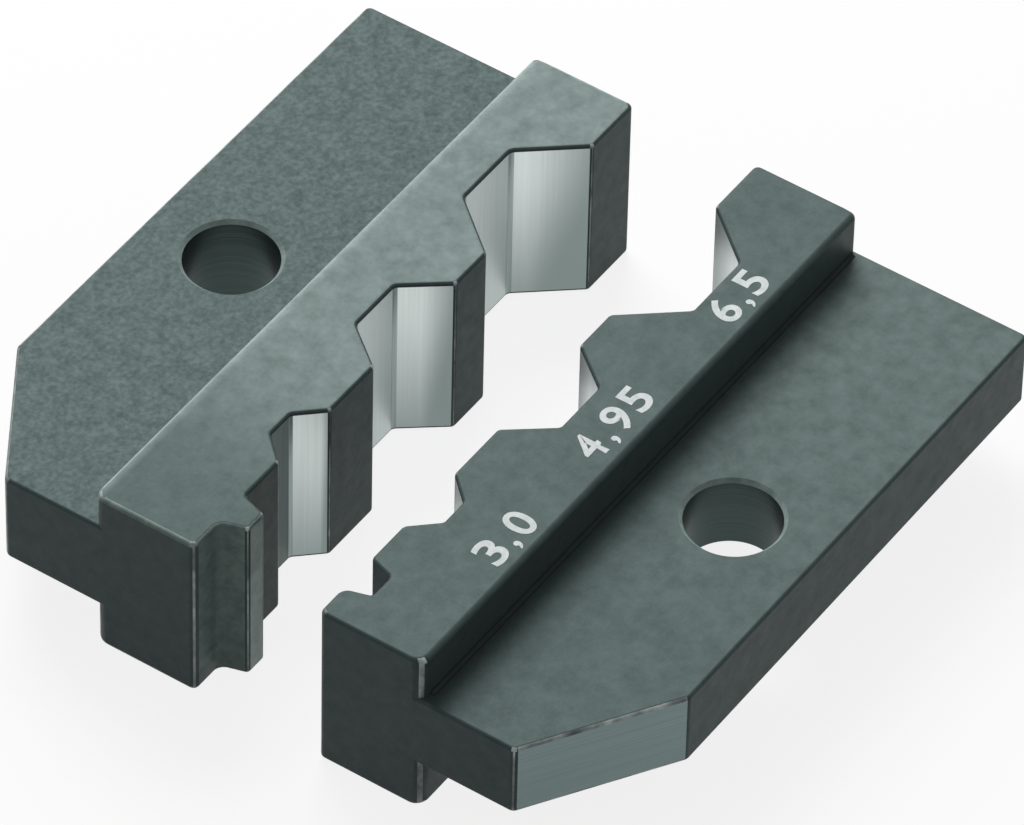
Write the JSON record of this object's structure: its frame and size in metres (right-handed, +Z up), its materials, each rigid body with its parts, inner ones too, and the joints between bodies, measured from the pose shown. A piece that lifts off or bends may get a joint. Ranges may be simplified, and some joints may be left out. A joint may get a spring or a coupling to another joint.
{
  "type": "crimping die",
  "caption": "Pair of crimping die halves with three hexagonal nests, a guide tooth and notch, and a mounting plate with a screw hole on each half.",
  "frame": {"origin": "middle of the open pair, on the plane that both heads rest on", "axes": "+X along the row of nests, from the guide end to the end of the largest nest; +Y from the half with the notch to the half with the tooth, the line of the closing stroke; +Z up"},
  "size_m": [0.038, 0.0402, 0.0103],
  "materials": {
    "blackened_steel_tooth_half": "hardened tool steel, black oxide, satin, with ground nests",
    "blackened_steel_notch_half": "hardened tool steel, black oxide, satin, with ground nests and white size marks"
  },
  "bodies": {
    "notch_half": {"die_half_with_notch": "blackened_steel_notch_half"},
    "tooth_half": {"die_half_with_tooth": "blackened_steel_tooth_half"}
  },
  "joints": [
    {"name": "closing_stroke", "type": "slide", "parent": "notch_half", "child": "tooth_half", "axis": [0, -1, 0], "range_m": [0, 0.0073]}
  ]
}
